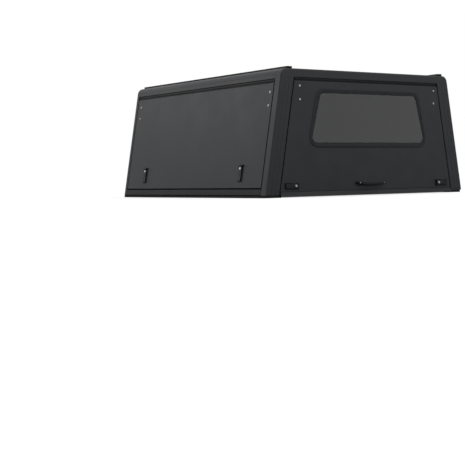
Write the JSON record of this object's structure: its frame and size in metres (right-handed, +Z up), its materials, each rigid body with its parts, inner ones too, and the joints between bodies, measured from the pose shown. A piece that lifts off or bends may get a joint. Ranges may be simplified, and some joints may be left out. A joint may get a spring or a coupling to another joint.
{
  "type": "pickup truck canopy",
  "caption": "Load bed canopy with inward-leaning sheet-metal sides, lift-up side doors, a glazed lift-up rear door, paddle latches, a fixed front window and roof tracks.",
  "frame": {"origin": "on the ground plane under the middle of the canopy's overall box", "axes": "+X to the vehicle's right, +Y towards the vehicle's front, +Z up; the rear door faces -Y"},
  "size_m": [1.62, 1.688, 0.767],
  "materials": {
    "powder_coat": "fine textured satin powder coat, dark grey",
    "track_black": "satin black",
    "latch_black": "semi-gloss black",
    "rubber": "matte black",
    "glass": "dark tinted, smooth"
  },
  "bodies": {
    "frame": {"base_seal": "rubber", "base_rail_front": "powder_coat", "base_rail_left": "powder_coat", "rear_post_left": "powder_coat", "front_post_left": "powder_coat", "header_left": "powder_coat", "roof_track_left": "track_black", "base_rail_right": "powder_coat", "rear_post_right": "powder_coat", "front_post_right": "powder_coat", "header_right": "powder_coat", "roof_track_right": "track_black", "rear_header": "powder_coat", "front_header": "powder_coat", "roof_sheet": "powder_coat", "roof_bows": "powder_coat", "front_panel": "powder_coat", "front_window_glass": "glass", "front_window_seal": "rubber", "left_door_rubber": "rubber", "right_door_rubber": "rubber", "rear_door_rubber": "rubber"},
    "left_door": {"left_door_panel": "powder_coat", "left_door_liner": "powder_coat", "left_door_latches": "latch_black", "left_door_hinge": "powder_coat"},
    "right_door": {"right_door_panel": "powder_coat", "right_door_liner": "powder_coat", "right_door_latches": "latch_black", "right_door_hinge": "powder_coat"},
    "rear_door": {"rear_door_panel": "powder_coat", "rear_door_liner": "powder_coat", "rear_door_latches": "latch_black", "rear_door_hinge": "powder_coat", "rear_door_skirt": "powder_coat", "rear_pull_handle": "latch_black", "rear_window_glass": "glass", "rear_window_seal": "rubber"},
    "left_door_paddle_rear": {"left_door_paddle_rear": "latch_black"},
    "left_door_paddle_front": {"left_door_paddle_front": "latch_black"},
    "right_door_paddle_rear": {"right_door_paddle_rear": "latch_black"},
    "right_door_paddle_front": {"right_door_paddle_front": "latch_black"},
    "rear_door_paddle_left": {"rear_door_paddle_left": "latch_black"},
    "rear_door_paddle_right": {"rear_door_paddle_right": "latch_black"}
  },
  "joints": [
    {"name": "left_door_lift", "type": "hinge", "parent": "frame", "child": "left_door", "pos_m": [-0.68322, 0, 0.68011], "axis": [0, 1, 0], "range_deg": [0, 90]},
    {"name": "right_door_lift", "type": "hinge", "parent": "frame", "child": "right_door", "pos_m": [0.68322, 0, 0.68011], "axis": [0, -1, 0], "range_deg": [0, 90]},
    {"name": "rear_door_lift", "type": "hinge", "parent": "frame", "child": "rear_door", "pos_m": [0, -0.809, 0.6925], "axis": [-1, 0, 0], "range_deg": [0, 90]},
    {"name": "left_door_paddle_rear_pull", "type": "hinge", "parent": "left_door", "child": "left_door_paddle_rear", "pos_m": [-0.78588, -0.537, 0.19425], "axis": [0, 1, 0], "range_deg": [0, 75]},
    {"name": "left_door_paddle_front_pull", "type": "hinge", "parent": "left_door", "child": "left_door_paddle_front", "pos_m": [-0.78588, 0.571, 0.19425], "axis": [0, 1, 0], "range_deg": [0, 75]},
    {"name": "right_door_paddle_rear_pull", "type": "hinge", "parent": "right_door", "child": "right_door_paddle_rear", "pos_m": [0.78588, -0.537, 0.19425], "axis": [0, -1, 0], "range_deg": [0, 75]},
    {"name": "right_door_paddle_front_pull", "type": "hinge", "parent": "right_door", "child": "right_door_paddle_front", "pos_m": [0.78588, 0.571, 0.19425], "axis": [0, -1, 0], "range_deg": [0, 75]},
    {"name": "rear_door_paddle_left_pull", "type": "hinge", "parent": "rear_door", "child": "rear_door_paddle_left", "pos_m": [-0.573, -0.824, 0.067], "axis": [0, 0, 1], "range_deg": [0, 75]},
    {"name": "rear_door_paddle_right_pull", "type": "hinge", "parent": "rear_door", "child": "rear_door_paddle_right", "pos_m": [0.573, -0.824, 0.067], "axis": [0, 0, -1], "range_deg": [0, 75]}
  ]
}
